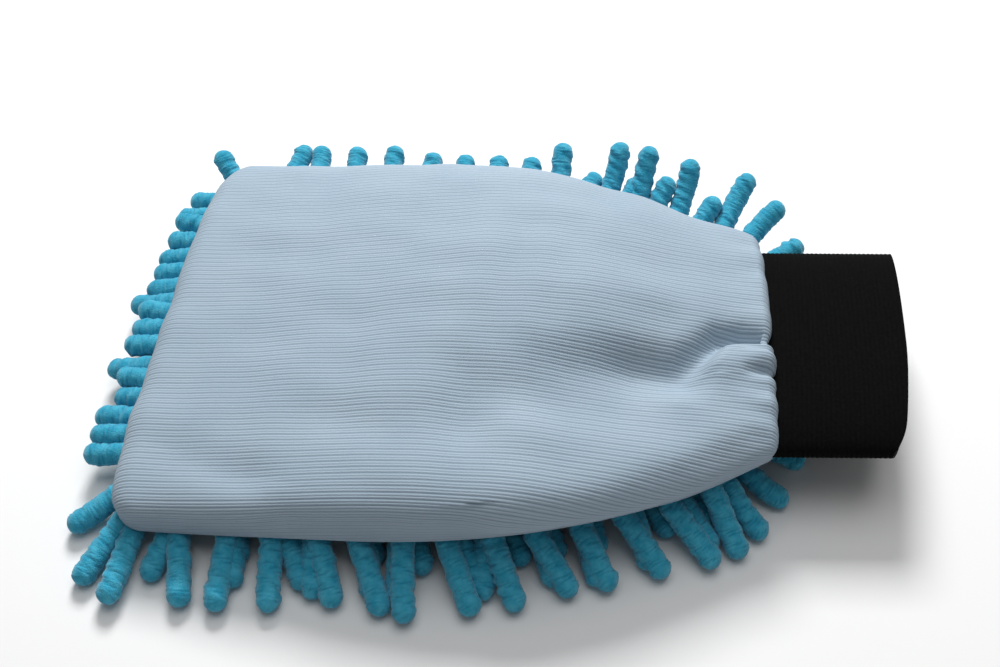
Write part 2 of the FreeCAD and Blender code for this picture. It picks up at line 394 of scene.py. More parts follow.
def back_grid():
    """The back cloth with no folds: a row of points at each station, a column along each rib.

    The panel is cut on a taper, so the ribs keep their pitch and the outer ones end at the seams.
    Gives the grid, each column's place across the flat cloth, and each point's distance from a
    seam along its row."""
    lines = []
    for station in stations():
        y, z, x, dip = row_at(station)
        length = running_length(np.hypot(np.diff(y), np.diff(z)))
        lines.append((x, dip, y, z, length - np.interp(MIDDLE_Y, y, length)))
    near_ribs = math.ceil(-min(line[4][0] for line in lines) / RIB_PITCH)
    far_ribs = math.ceil(max(line[4][-1] for line in lines) / RIB_PITCH)
    count = (near_ribs + far_ribs) * COLUMNS_PER_RIB + 1
    flat_y = np.linspace(-near_ribs * RIB_PITCH, far_ribs * RIB_PITCH, count)
    grid = np.zeros((len(lines), count, 3))
    gap = np.zeros((len(lines), count))
    for i, (x, dip, y, z, length) in enumerate(lines):
        wanted = np.clip(flat_y, length[0], length[-1])
        grid[i, :, 0] = x
        grid[i, :, 1] = np.interp(wanted, length, y)
        grid[i, :, 2] = np.interp(wanted, length, z)
        if dip:
            floor = palm_z(TIP_X, grid[i, :, 1])
            grid[i, :, 2] = np.maximum(grid[i, :, 2] - dip, np.minimum(floor, grid[i, :, 2]))
        gap[i] = np.minimum(wanted - length[0], length[-1] - wanted)
    return warp(grid), flat_y, gap


def segment_distance(x, y, start, end):
    """Distance from a line between two plan points, its side (+ is far), and the place along it."""
    dx, dy = end[0] - start[0], end[1] - start[1]
    along = ((x - start[0]) * dx + (y - start[1]) * dy) / (dx * dx + dy * dy)
    kept = np.clip(along, 0, 1)
    off_x, off_y = x - start[0] - kept * dx, y - start[1] - kept * dy
    side = np.sign(dx * off_y - dy * off_x) * np.sign(dx)
    return np.hypot(off_x, off_y), side, kept


# Each fold is a chain of plan points: x, y, depth (minus for a valley), and its width on the near
# side and on the far side.
FOLDS = [
    [(99, -8.8, -4.2, 1.4, 3.0), (83, -9.4, -6.8, 1.6, 4.5), (76, -11.5, -7.0, 1.8, 5.5),
     (70, -19, -7.2, 3.2, 7.0), (62, -27, -7.8, 8.0, 9.0), (47, -29, -8.5, 13.0, 10.0),
     (18, -35, -4.5, 16.0, 15.0), (0, -43, -1.5, 16.0, 18.0)],     # the deep crease and hollow
    [(97, -16, 2.8, 3.6, 3.6), (76, -21, 2.4, 6.5, 6.5)],          # the lobe beside it
    [(99, -14, -2.6, 1.0, 1.0), (84, -13, -0.8, 1.6, 1.6)],        # the fold within the lobe
    [(99, -22, -4.0, 1.2, 1.2), (86, -23, -1.0, 2.2, 2.2)],        # its short tuck
    [(95, -36, 1.2, 6.0, 8.0), (69, -53, 2.4, 7.0, 9.0), (37, -72, 3.0, 7.0, 10.0),
     (5, -81, 2.0, 7.0, 12.0)],                                    # the long ridge, near side
    [(40, -47, -1.6, 8.0, 8.0), (-10, -46, -3.0, 14.0, 14.0)],     # shallow valley behind it
    [(-10, -58, -2.4, 10.0, 10.0), (-60, -62, -1.2, 14.0, 14.0)],
    [(-80, -76, -1.9, 6.0, 9.0), (-106, -68, -0.9, 6.0, 9.0)],     # dent at a fingertip corner
    [(98, 26, -1.1, 3.5, 3.5), (70, 20, 0.0, 10.0, 10.0)],         # shallow pleats at the neck
    [(97, 41, -1.4, 2.4, 2.4), (76, 41, 0.0, 6.0, 6.0)],
    [(99, -38, -0.9, 3.0, 3.0), (78, -46, 0.0, 8.0, 8.0)],
    [(99, -29, -1.6, 1.8, 1.8), (84, -32, 0.0, 4.5, 4.5)],
    [(30, 60, -1.2, 14.0, 14.0), (-60, 40, -0.4, 20.0, 20.0)],     # broad slackness of the hand
    [(50, 2, 1.5, 10.0, 10.0), (-20, 4, 1.0, 18.0, 18.0)],
    [(5, 30, -0.9, 6.0, 6.0), (-5, -20, -0.9, 8.0, 8.0)],          # soft ripples across the ribs
    [(22, 34, -0.7, 5.0, 5.0), (14, -12, -0.7, 7.0, 7.0)],
    [(-45, 20, -0.8, 9.0, 9.0), (-60, -50, -0.6, 12.0, 12.0)],
]
VALLEYS = [chain for chain in FOLDS if chain[0][2] < 0]


def fold_depth(x, y, folds=FOLDS, spread=0.0):
    """Height of the folds at plan points. A spread widens them all by that much."""
    depth = np.zeros_like(x)
    for chain in folds:
        deepest = np.zeros_like(x)
        for first, second in zip(chain, chain[1:]):
            away, side, along = segment_distance(x, y, first, second)
            level, near, far = (first[k] + (second[k] - first[k]) * along for k in (2, 3, 4))
            part = level * bump(away, np.where(side > 0, far, near) + spread)
            deepest = np.where(np.abs(part) > np.abs(deepest), part, deepest)
        depth += deepest
    return depth


def neck_gathers(x, flat_y):
    """Irregular small pleats where the cloth is drawn in to the cuff, fading away from it."""
    rng = random.Random(11)
    near = gather_ease(x) ** 1.6
    waves = np.zeros_like(x)
    for _ in range(7):
        pitch = rng.uniform(8.0, 24.0)
        phase = rng.uniform(0, 2 * math.pi)
        waves += rng.uniform(0.06, 0.16) * np.sin(2 * math.pi * flat_y / pitch + phase)
    return near * waves


def slackness(x, y):
    """Broad, barely seen hills and hollows of cloth that isn't pulled tight."""
    rng = random.Random(23)
    waves = np.zeros_like(x)
    for _ in range(9):
        turn = rng.uniform(0, math.pi)
        pitch = rng.uniform(16.0, 48.0)
        place = (x * math.cos(turn) + y * math.sin(turn)) / pitch
        waves += 0.0042 * pitch * np.sin(2 * math.pi * place + rng.uniform(0, 2 * math.pi))
    return waves


def folded_grid():
    grid, flat_y, gap = back_grid()
    x, y = grid[:, :, 0], grid[:, :, 1]
    flat = np.broadcast_to(flat_y, gap.shape)
    inside = smooth((gap - 4) / 14)
    depth = (fold_depth(x, y) + neck_gathers(x, flat) + slackness(x, y)) * inside
    rolled = smooth((stations() - NECK_ROLL_X + 3.0) / 7.5)[:, None]
    depth = np.where(depth > 0, depth * (1 - 0.75 * rolled), depth * (1 - 0.6 * rolled))
    deepest = -9.5 + 6.8 * rolled       # folds stay shallow where the cloth rolls over the cuff
    depth = np.maximum(depth, deepest)
    grid = grid + normals_of(grid) * depth[:, :, None]
    return grid, flat, gap


def rib_relief(flat_y):
    """Height of the cloth across its ribs, 0 to 1: each rib has a shallow groove down its middle."""
    phase = math.pi * flat_y / RIB_PITCH
    deep = np.abs(np.sin(phase)) ** 0.6
    shallow = 1 - 0.85 * np.clip(1 - np.abs(np.cos(phase)) / 0.45, 0, 1) ** 1.3
    return deep * shallow


def add_relief(piece, values):
    """Stores how high each point stands, 0 to 1, for the material to paint shade on what lies deep.
    """
    layer = piece.data.attributes.new(name="relief", type="FLOAT", domain="POINT")
    layer.data.foreach_set("value", np.asarray(values, np.float32).ravel())


def make_back_panel():
    core, flat, gap = folded_grid()
    relief = rib_relief(flat)
    height = RIB_HEIGHT * (relief - 0.6) * smooth(gap / 1.2)
    normal = normals_of(core)
    outer = core + normal * height[:, :, None]
    inner = core - normal * CLOTH_THICKNESS
    piece = closed_sheet("back_panel_cloth", outer, inner, 2, COLUMNS_PER_RIB // 2)
    hidden = len(piece.data.vertices) - relief.size
    # The rib relief is stored for painted shade: the material darkens the rib grooves and creases.
    add_relief(piece, np.concatenate([relief.ravel(), np.ones(hidden)]))
    merge_points(piece)
    return piece


def inner_layer(rows, columns, inset):
    """A layer under the back cloth: the same arch further in, lower wherever the cloth dips."""
    grid = np.zeros((len(rows), columns, 3))
    t = np.linspace(-1, 1, columns)
    for i, x in enumerate(rows):
        y, z = arch(min(x, NECK_ROLL_X), inset + max(x - NECK_ROLL_X, 0), 160)
        length = running_length(np.hypot(np.diff(y), np.diff(z)))
        wanted = (t + 1) / 2 * length[-1]
        grid[i] = np.stack([np.full(columns, x), np.interp(wanted, length, y),
                            np.interp(wanted, length, z)], axis=1)
    grid = warp(grid)
    depth = fold_depth(grid[:, :, 0], grid[:, :, 1], VALLEYS, spread=3.0)
    depth = depth * smooth((1 - np.abs(t)) / 0.2)
    deepest = -13.0
    grid += normals_of(grid) * np.maximum(depth, deepest)[:, :, None]
    grid[:, :, 2] -= 0.5
    return grid


def layer_rows(start_gap, end_x, count):
    """Rows of an inner layer, closer together at the fingertips."""
    share = np.linspace(0, 1, count)
    start = TIP_X + start_gap
    return start + (end_x - start) * (0.35 * share ** 2.2 + 0.65 * share)


def make_wadding():
    rows = layer_rows(5.0, POCKET_END_X, 60)
    outer, inner = (inner_layer(rows, 81, inset) for inset in WADDING_INSETS)
    puff = 0.25 * np.sin(outer[:, :, 0] / 5.3) * np.sin(outer[:, :, 1] / 4.1)
    outer[:, :, 2] += puff
    return closed_sheet("back_wadding_pad", outer, inner, 1, 1)


def make_back_lining():
    rows = layer_rows(7.5, NECK_X - 1.0, 70)
    outer, inner = (inner_layer(rows, 81, inset) for inset in BACK_LINING_INSETS)
    return closed_sheet("back_lining_cloth", outer, inner, 1, 1)


def palm_z(x, y):
    """Height of the palm base cloth, which rises to the underside of the cuff at the neck."""
    near, far = seam_z(x, np.float64(-1)), seam_z(x, np.float64(1))
    middle = SEAM_Z + (CUFF_Z - CUFF_HALF_HEIGHT - SEAM_Z) * neck_ease(x)
    edge = np.where(y < 0, near, far)
    side = np.clip(np.abs(y) / half_width(x, np.sign(y)), 0, 1)
    return middle + (edge - middle) * side ** 2.2


def palm_grid(rows, columns, inset, raise_by):
    t = np.linspace(-1, 1, columns)
    grid = np.zeros((len(rows), columns, 3))
    for i, x in enumerate(rows):
        y = t * (half_width(x, t) - inset)
        pleats = 0.5 * gather_ease(x) * np.sin(y / 1.7 + 2 * np.sin(y / 9.0))
        grid[i, :, 0] = x
        grid[i, :, 1] = y
        grid[i, :, 2] = palm_z(x, y) + raise_by + pleats
    return warp(grid)


def make_palm_cloth():
    rows = layer_rows(1.5, NECK_X + 0.5, 90)
    inset = ROLL_INSET + 0.4
    upper, lower = (palm_grid(rows, 121, inset, rise) for rise in PALM_CLOTH_RISE)
    return closed_sheet("palm_cloth", upper, lower, 1, 1)


def make_palm_lining():
    rows = layer_rows(7.5, NECK_X - 1.0, 70)
    inset = ROLL_INSET + 5.0
    upper, lower = (palm_grid(rows, 81, inset, rise) for rise in PALM_LINING_RISE)
    for layer in (upper, lower):
        layer[:, :, 2] += 2.2 * smooth((rows - (NECK_X - 24)) / 22)[:, None]
    return closed_sheet("palm_lining_cloth", upper, lower, 1, 1)


def seam_path(inset, raise_by):
    """The line just inside the seam, from the neck round the fingertips and back."""
    xs = TIP_X + inset + 4 + (POCKET_END_X - TIP_X - inset - 6) * np.linspace(0, 1, 60) ** 1.5
    points = []
    for side, order in ((-1, xs[::-1]), (1, xs)):
        for x in order:
            y = side * (float(half_width(x, side)) - inset)
            points.append((x, y, float(seam_z(x, np.float64(side))) + raise_by))
    return warp(np.array(points))


def make_seam_allowance():
    path = seam_path(ROLL_INSET + 2.6, 2.6)
    piece = strip_along("turned_seam_allowance", path, 1.1, 1.2, 0.25)
    add_relief(piece, np.ones(len(piece.data.vertices)))
    return piece


def make_seam_thread():
    line = seam_path(ROLL_INSET + 4.3, 2.6)
    step = running_length(np.linalg.norm(np.diff(line, axis=0), axis=1))
    count = 420
    place = np.linspace(0, step[-1], count)
    fine = np.stack([np.interp(place, step, line[:, k]) for k in range(3)], axis=1)
    fine[:, 2] += 0.5 * np.where(np.arange(count) % 4 < 2, 1, -1)
    return thread_tube("perimeter_overlock_thread", fine, THREAD_RADIUS)


# ---- noodles ----

def bezier(points, count):
    t = np.linspace(0, 1, count)[:, None]
    a, b, c, d = (np.asarray(p, float) for p in points)
    return a * (1 - t) ** 3 + 3 * b * t * (1 - t) ** 2 + 3 * c * t * t * (1 - t) + d * t ** 3


def crinkles(s, a, rng):
    """Creases across a noodle's pile, 0 to 1 in the creases: wavy, fading in and out."""
    pitch = rng.uniform(1.5, 2.0)
    wander = np.zeros_like(s)
    for turns, reach, rate in ((1, 0.50, 0.30), (2, 0.36, -0.45), (3, 0.30, 0.9), (5, 0.16, -1.5)):
        wander += reach * np.sin(turns * a + rate * s + rng.uniform(0, 6.28))
    strength = 0.55 + 0.45 * np.sin(2 * a + 1.1 * s + rng.uniform(0, 6.28))
    return strength * (1 - np.abs(np.sin(math.pi * (s + wander) / pitch))) ** 1.5


def noodle_points(line, radius, rng, around=18, ring_gap=0.36):
    """A chenille noodle: a round-ended tube of lumpy pile. Gives its points and their relief, which
    the material uses to paint shade into the creases.
    """
    length = running_length(np.linalg.norm(np.diff(line, axis=0), axis=1))
    total = length[-1]
    inner = np.linspace(radius * 0.5, total - radius * 0.5, int(total / ring_gap))
    ends = radius * 0.5 * (1 - np.cos(np.linspace(0, math.pi / 2, 5, endpoint=False)))
    place = np.concatenate([ends, inner, total - ends[::-1]])
    centre = np.stack([np.interp(place, length, line[:, k]) for k in range(3)], axis=1)
    side, up = tube_frames(smooth_path(centre))
    cap = np.sqrt(np.clip(1 - (1 - np.clip((total - place) / radius, 0, 1)) ** 2, 0, 1))
    start = np.sqrt(np.clip(1 - (1 - np.clip(place / radius, 0, 1)) ** 2, 0, 1))
    angle = np.linspace(0, 2 * math.pi, around, endpoint=False)
    s, a = np.meshgrid(place, angle, indexing="ij")
    crease = crinkles(s, a, rng)
    lumps = np.zeros_like(s)
    for _ in range(5):
        lumps += rng.uniform(0.05, 0.15) * np.sin(
            rng.uniform(0.3, 1.8) * s + rng.randint(1, 4) * a + rng.uniform(0, 6.28))
    tufts = np.random.default_rng(rng.randint(0, 10 ** 6)).uniform(-1, 1, s.shape)
    r = (radius + 0.12 - 0.36 * crease + lumps + 0.09 * tufts) * np.minimum(cap, start)[:, None]
    ring = side[:, None, :] * np.cos(a)[:, :, None] + up[:, None, :] * np.sin(a)[:, :, None]
    points = centre[:, None, :] + ring * r[:, :, None]
    points[:, :, 2] = np.maximum(points[:, :, 2], 0.05)
    return points, np.clip(1 - 0.8 * crease + 0.12 * tufts, 0, 1)


def add_noodle(points, relief, faces, line, radius, rng):
    grid, level = noodle_points(line, radius, rng)
    rings, around = grid.shape[:2]
    first = sum(len(p) for p in points)
    body = grid[1:-1].reshape(-1, 3)
    points.append(body)
    points.append(np.stack([grid[0].mean(axis=0), grid[-1].mean(axis=0)]))
    relief.append(np.concatenate([level[1:-1].ravel(), [1.0, 1.0]]))
    faces += grid_faces(rings - 2, around, first, wrap=True)
    low_pole, high_pole = first + len(body), first + len(body) + 1
    last = first + (rings - 3) * around
    for j in range(around):
        k = (j + 1) % around
        faces.append((first + k, first + j, low_pole))
        faces.append((last + j, last + k, high_pole))


def lying_noodle(root, heading, length, tip_z, rng):
    """A path from the palm cloth, out from under it and on to the height of its tip."""
    heading = heading / np.linalg.norm(heading)
    across = np.array([-heading[1], heading[0], 0.0])
    bend = rng.uniform(-0.15, 0.15) * length
    drop = root[2] - tip_z
    level = math.sqrt(max(length ** 2 - drop ** 2, (0.5 * length) ** 2))
    end = root + heading * level + across * bend * 0.6
    end[2] = tip_z
    second = root + heading * level * 0.35
    third = root + heading * level * 0.72 + across * bend
    if drop > 0:
        second[2] = root[2] - drop * 0.3
        third[2] = tip_z + drop * 0.05
    else:
        second[2] = root[2] - 0.5
        third[2] = root[2] - drop * 0.45
    return bezier([root, second, third, end], 26)


def make_noodle_rows():
    rows = []
    for row in range(ROW_COUNT):
        rng = random.Random(100 + row)
        points, relief, faces = [], [], []
        for place in row_places(row, rng):
            add_noodle(points, relief, faces, lying_noodle(*place, rng), NOODLE_RADIUS, rng)
        piece = new_mesh(f"chenille_row_{row + 1:02d}", np.concatenate(points), faces)
        add_relief(piece, np.concatenate(relief))
        rows.append(piece)
    return rows


def near_noodle(layer, along, rng):
    """(heading, length, tip height) of a noodle at the near side: it leans to the cuff."""
    drift = 0.95 * along ** 1.1 + rng.uniform(-0.13, 0.13)
    if layer == 0:
        return (drift, -1.0), rng.uniform(28, 31.5), LYING_Z + rng.uniform(0, 1.0)
    return (drift + rng.uniform(-0.5, 0.3), -1.0), rng.uniform(31, 34), LYING_Z


def far_noodle(layer, along, rng):
    """At the far side they stick out and up, and those near the cuff stand longer and higher."""
    raised = float(smooth((along - 0.62) / 0.12))
    drift = 0.02 + 0.30 * along ** 4 + rng.uniform(-0.12, 0.16)
    if layer == 0:
        length = rng.uniform(24, 26.5) + 12 * raised
        return (drift, 1.0), length, 20 + 17 * raised + rng.uniform(-2, 2)
    length = rng.uniform(26, 29) + 8 * raised
    return (drift + 0.3, 1.0), length, rng.uniform(9, 14) + 16 * raised


def tip_noodle(number, rng):
    """At the fingertips they lie packed side by side, and a few reach further."""
    long_ones = (5, 8, 12)
    if number in long_ones:
        return (-1.0, 0.12), rng.uniform(29, 31), 8.0
    return (-1.0, rng.uniform(-0.08, 0.12)), rng.uniform(23, 25), rng.uniform(9, 13)


def neck_noodle(from_near, from_far, rng):
    """Beside the cuff the outer ones fan out, and the ones under it stay short."""
    fanned = (((0.60, 1.0), 42.0, 32.0), ((1.1, 1.0), 44.0, 30.0), ((1.6, 1.0), 44.0, 26.0))
    if from_far < len(fanned):
        return fanned[from_far]
    if from_near < 5:
        spread = ((0.55, -1.0), (0.95, -0.75), (1.2, -0.5), (1.3, -0.3), (1.3, -0.1))[from_near]
        return spread, (29.0, 34.0, 38.0, 40.0, 40.0)[from_near], LYING_Z
    return (1.0, rng.uniform(-0.2, 0.2)), rng.uniform(20, 23), LYING_Z


def row_places(row, rng):
    """(root, heading, length, tip height) of each noodle in a row across the palm."""
    x = TIP_X + END_ROW_INSET + row * ROW_PITCH
    reaches = [float(half_width(x, side)) - NOODLE_SIDE_INSET for side in (-1.0, 1.0)]
    pitch = TIP_NOODLE_PITCH if row == 0 else NOODLE_PITCH
    count = int(sum(reaches) // pitch) + 1
    along = row / (ROW_COUNT - 1)
    for i in range(count):
        y = -reaches[0] + sum(reaches) * i / (count - 1) + rng.uniform(-0.8, 0.8)
        root_x = x + rng.uniform(-1.2, 1.2) + (float(tip_bulge(y)) if row < 2 else 0.0)
        root = np.array([root_x, y, float(palm_z(root_x, y)) - NOODLE_RADIUS * 0.6])
        from_near, from_far = i, count - 1 - i
        if row == 0 and from_near < 3:
            heading = ((-0.2, -1.0), (-0.42, -1.0), (-1.0, -0.72))[from_near]
            length, tip_z = (32.0, 36.0, 32.0)[from_near], LYING_Z + (1.5, 0.0, 0.5)[from_near]
        elif row == 0 and from_far == 0:
            heading, length, tip_z = (-0.8, 1.0), 21.0, 22.0
        elif row == 0:
            heading, length, tip_z = tip_noodle(from_near, rng)
        elif row == ROW_COUNT - 1:
            heading, length, tip_z = neck_noodle(from_near, from_far, rng)
        elif from_near < 3:
            heading, length, tip_z = near_noodle(from_near, along, rng)
        elif from_far < 2:
            heading, length, tip_z = far_noodle(from_far, along, rng)
        else:
            heading, length, tip_z = (-1.0, rng.uniform(-0.3, 0.3)), rng.uniform(19, 23), LYING_Z
        yield root, np.array([*heading, 0.0]), length, tip_z


# ---- cuff ----

def cuff_skew(x):
    """How far the flat cuff leans to the far side at x."""
    return -1.2 + 4.0 * (x - NECK_X) / 45.0


def cuff_ring(count, inset):
    """Points (y, z) round the flattened loop."""
    angle = np.linspace(0, 2 * math.pi, count, endpoint=False)
    c, s = np.cos(angle), np.sin(angle)
    y = (CUFF_HALF_WIDTH - inset) * np.sign(c) * np.abs(c) ** (2 / CUFF_SQUARENESS)
    z = CUFF_Z + (CUFF_HALF_HEIGHT - inset) * np.sign(s) * np.abs(s) ** (2 / CUFF_SQUARENESS)
    return y, z


def make_cuff():
    """The elastic loop. Its mouth edge runs back on the near side, and most at the corner."""
    along_count, around_count = 190, 200
    share = np.linspace(0, 1, along_count)[:, None]

    def wall(inset):
        y, z = cuff_ring(around_count, inset)
        slant = 3.0 * np.clip((-y - 4.0) / 42.0, 0, 1) ** 1.6
        corner = 3.2 * np.clip((-y - 35.0) / 11.5, 0, 1) ** 2.6
        end = CUFF_MOUTH_X - slant - corner
        x = CUFF_FOOT_X + (end - CUFF_FOOT_X)[None, :] * share
        return np.stack([x, y + cuff_skew(x), np.broadcast_to(z, x.shape)], axis=2)

    outer, inner = wall(0.0), wall(CUFF_WALL)
    out_dir = outer - inner
    out_dir /= np.linalg.norm(out_dir, axis=2, keepdims=True)
    rib = np.cos(2 * math.pi * outer[:, :, 0] / CUFF_RIB_PITCH)
    outer = outer + out_dir * (0.10 * rib)[:, :, None]
    inner = inner - out_dir * (0.08 * rib)[:, :, None]
    return band_mesh("elastic_cuff", outer, inner)


def make_cuff_allowance():
    """The mitt's raw edge turned into the cuff: drawn in, so it stands in small waves."""
    around, along, wave_count = 260, 8, 38
    share = np.arange(around) / around
    wave = 0.45 * np.sin(2 * math.pi * wave_count * share + 2 * np.sin(2 * math.pi * 5 * share))
    walls = []
    for inset in (CUFF_WALL + 0.25, CUFF_WALL + 1.35):
        rows = []
        for i in range(along):
            flare = i / (along - 1)
            y, z = cuff_ring(around, inset)
            inward = np.stack([-y / CUFF_HALF_WIDTH, (CUFF_Z - z) / CUFF_HALF_HEIGHT], axis=1)
            y = y + inward[:, 0] * (wave + 0.5) * flare
            z = z + inward[:, 1] * (wave + 0.5) * flare
            x = np.full(around, NECK_X - 2.5 + 8.0 * flare)
            rows.append(np.stack([x, y + cuff_skew(x), z], axis=1))
        walls.append(np.array(rows))
    piece = band_mesh("gathered_raw_edge", walls[0], walls[1])
    add_relief(piece, np.ones(len(piece.data.vertices)))
    return piece


def make_cuff_thread():
    """Overlock thread that zigzags over the raw edge inside the cuff."""
    stitch_count, stitch_points = 84, 4
    count = stitch_count * stitch_points
    y, z = cuff_ring(count, CUFF_WALL + 2.2)
    beat = np.arange(count) % stitch_points
    x = NECK_X + np.where(beat < 2, 3.2, 6.0)
    line = np.stack([x, y + cuff_skew(x), z], axis=1)
    return thread_tube("cuff_overlock_thread", line, THREAD_RADIUS)


def make_cuff_join():
    """The elastic's other end, lapped over the first on the inside of the lower wall."""
    rows = np.linspace(NECK_X + 6.5, NECK_X + 44.5, 150)
    lap_half_width, inner_half_width = 6, 44.8
    y = np.linspace(-lap_half_width, lap_half_width, 25)
    height_share = 1 - (np.abs(y) / inner_half_width) ** CUFF_SQUARENESS
    floor = CUFF_Z - (CUFF_HALF_HEIGHT - CUFF_WALL) * height_share ** (1 / CUFF_SQUARENESS)
    rib = 0.08 * np.cos(2 * math.pi * rows / CUFF_RIB_PITCH)
    edge = 0.5 * smooth((lap_half_width - np.abs(y)) / 1.2)
    top = floor[None, :] + 0.85 + edge[None, :] + rib[:, None]
    x = np.broadcast_to(rows[:, None], top.shape)
    across = np.broadcast_to(y, top.shape)
    upper = np.stack([x, across, top], axis=2)
    lower = np.stack([x, across, np.broadcast_to(floor + 0.12, top.shape)], axis=2)
    return closed_sheet("cuff_lap", upper, lower, 1, 1)


def make_join_stitches():
    """Two zigzag lines that hold the lap."""
    base = CUFF_Z - CUFF_HALF_HEIGHT + CUFF_WALL + 1.5
    stitch_count, step, swing = 19, 0.95, 0.9
    beat = np.arange(2 * stitch_count)
    lines = []
    for side in (-4.0, 4.0):
        x = NECK_X + 8.0 + beat * step
        y = side + np.where(beat % 2 == 0, -swing, swing)
        lines.append(np.stack([x, y, np.full(len(beat), base)], axis=1))
    pieces = [thread_tube("cuff_join_zigzag", line, 0.24) for line in lines]
    with bpy.context.temp_override(active_object=pieces[0], selected_editable_objects=pieces):
        bpy.ops.object.join()
    return pieces[0]


# ---- materials ----

def node_material(name):
    material = bpy.data.materials.new(name)
    material.use_nodes = True
    nodes, links = material.node_tree.nodes, material.node_tree.links
    return material, nodes, links, nodes["Principled BSDF"]


def srgb(red, green, blue):
    def linear(value):
        value /= 255
        return value / 12.92 if value <= 0.04045 else ((value + 0.055) / 1.055) ** 2.4
    return linear(red), linear(green), linear(blue), 1.0


def noise_mix(nodes, links, coordinates, scale, low, high):
    """A colour that wanders between two values with a noise of that scale per metre."""
    noise = nodes.new("ShaderNodeTexNoise")
    noise.inputs["Scale"].default_value = scale
    noise.inputs["Detail"].default_value = 3.0
    links.new(coordinates, noise.inputs["Vector"])
    ramp = nodes.new("ShaderNodeValToRGB")
    ramp.color_ramp.elements[0].position = 0.3
    ramp.color_ramp.elements[0].color = low
    ramp.color_ramp.elements[1].position = 0.7
    ramp.color_ramp.elements[1].color = high
    links.new(noise.outputs["Fac"], ramp.inputs["Fac"])
    return ramp.outputs["Color"]


def add_bump(nodes, links, shader, height, strength, distance):
    node = nodes.new("ShaderNodeBump")
    node.inputs["Strength"].default_value = strength
    node.inputs["Distance"].default_value = distance
    links.new(height, node.inputs["Height"])
    links.new(node.outputs["Normal"], shader.inputs["Normal"])


def painted_relief_shade(nodes, links, colour, shade_colour, power):
    """Paints shade into a colour where the piece's stored relief lies deep, in its grooves and
    creases.
    """
    stored = nodes.new("ShaderNodeAttribute")
    stored.attribute_name = "relief"
    curve = nodes.new("ShaderNodeMath")
    curve.operation = "POWER"
    curve.inputs[1].default_value = power
    links.new(stored.outputs["Fac"], curve.inputs[0])
    mix = nodes.new("ShaderNodeMix")
    mix.data_type = "RGBA"
    mix.inputs["A"].default_value = shade_colour
    links.new(curve.outputs[0], mix.inputs["Factor"])
    links.new(colour, mix.inputs["B"])
    return mix.outputs["Result"]


def cloth_material(name, patches, colours, pile, roughness, deep=None):
    """A cloth: two colours that wander into each other, and a fine bump for its pile.

    patches is the scale per metre at which the colours change. pile is the bump's scale per metre,
    detail, strength and distance. deep, for a piece that stores its relief, is painted shade: the
    colour painted where the relief lies deep, in grooves and creases, and the power that says how
    soon it shows."""
    material, nodes, links, shader = node_material(name)
    coordinates = nodes.new("ShaderNodeTexCoord").outputs["Object"]
    colour = noise_mix(nodes, links, coordinates, patches, *colours)
    # Painted shade: what lies deep in grooves and creases is darkened.
    if deep:
        colour = painted_relief_shade(nodes, links, colour, *deep)
    links.new(colour, shader.inputs["Base Color"])
    scale, detail, strength, distance = pile
    fuzz = nodes.new("ShaderNodeTexNoise")
    fuzz.inputs["Scale"].default_value = scale
    fuzz.inputs["Detail"].default_value = detail
    links.new(coordinates, fuzz.inputs["Vector"])
    add_bump(nodes, links, shader, fuzz.outputs["Fac"], strength, distance)
    shader.inputs["Roughness"].default_value = roughness
    return material, shader


def microfibre_material():
    # deep is painted shade: the rib grooves and creases are darkened towards this colour.
    material, shader = cloth_material(
        "ribbed_microfibre", 35, (srgb(164, 182, 197), srgb(173, 189, 202)),
        (2600, 4, 0.35, 0.0004), 0.95, deep=(srgb(128, 146, 161), 0.9))
    shader.inputs["Specular IOR Level"].default_value = 0.15
    shader.inputs["Sheen Weight"].default_value = 0.08
    shader.inputs["Sheen Roughness"].default_value = 0.5
    return material


def chenille_material():
    # deep is painted shade: the noodles' creases are darkened towards this colour.
    material, shader = cloth_material(
        "chenille", 320, (srgb(44, 152, 184), srgb(78, 178, 206)),
        (1900, 5, 0.7, 0.0007), 1.0, deep=(srgb(16, 104, 138), 0.7))
    shader.inputs["Specular IOR Level"].default_value = 0.1
    shader.inputs["Sheen Weight"].default_value = 0.35
    shader.inputs["Sheen Roughness"].default_value = 0.4
    return material


def elastic_material():
    material, shader = cloth_material(
        "woven_elastic", 900, (srgb(6, 6, 6), srgb(12, 12, 12)), (2200, 2, 0.3, 0.0003), 0.9)
    shader.inputs["Specular IOR Level"].default_value = 0.06
    return material


def plain_cloth_material(name, low, high):
    return cloth_material(name, 400, (low, high), (1800, 2, 0.4, 0.0004), 0.9)[0]


MATERIALS = {
    "ribbed_microfibre": microfibre_material(),
    "chenille": chenille_material(),
    "woven_elastic": elastic_material(),
    "knit_base": plain_cloth_material("knit_base", srgb(20, 110, 140), srgb(30, 128, 160)),
    "wadding": plain_cloth_material("wadding", srgb(225, 228, 228), srgb(238, 240, 240)),
    "lining": plain_cloth_material("lining", srgb(176, 184, 190), srgb(188, 196, 202)),
    "seam_thread": plain_cloth_material("seam_thread", srgb(160, 175, 190), srgb(176, 190, 204)),
    "black_thread": plain_cloth_material("black_thread", srgb(14, 14, 14), srgb(24, 24, 24)),
}


def dress(piece, slot_name):
    piece.data.materials.clear()
    piece.data.materials.append(MATERIALS[slot_name])
    "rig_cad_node" not in piece


# ---- making ----

def place(piece, slot_name, nodes, bodies):
    """Dresses a piece, puts it on its body if that is hand_pocket or cuff_lower (others stay free),
    and lets it stand for its nodes.
    """
    dress(piece, slot_name)
    if bodies in ("hand_pocket", "cuff_lower"):
        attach(piece, bodies)
    elif bodies == "neck":
        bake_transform(piece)
    else:
        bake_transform(piece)
    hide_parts(*nodes)
    return piece


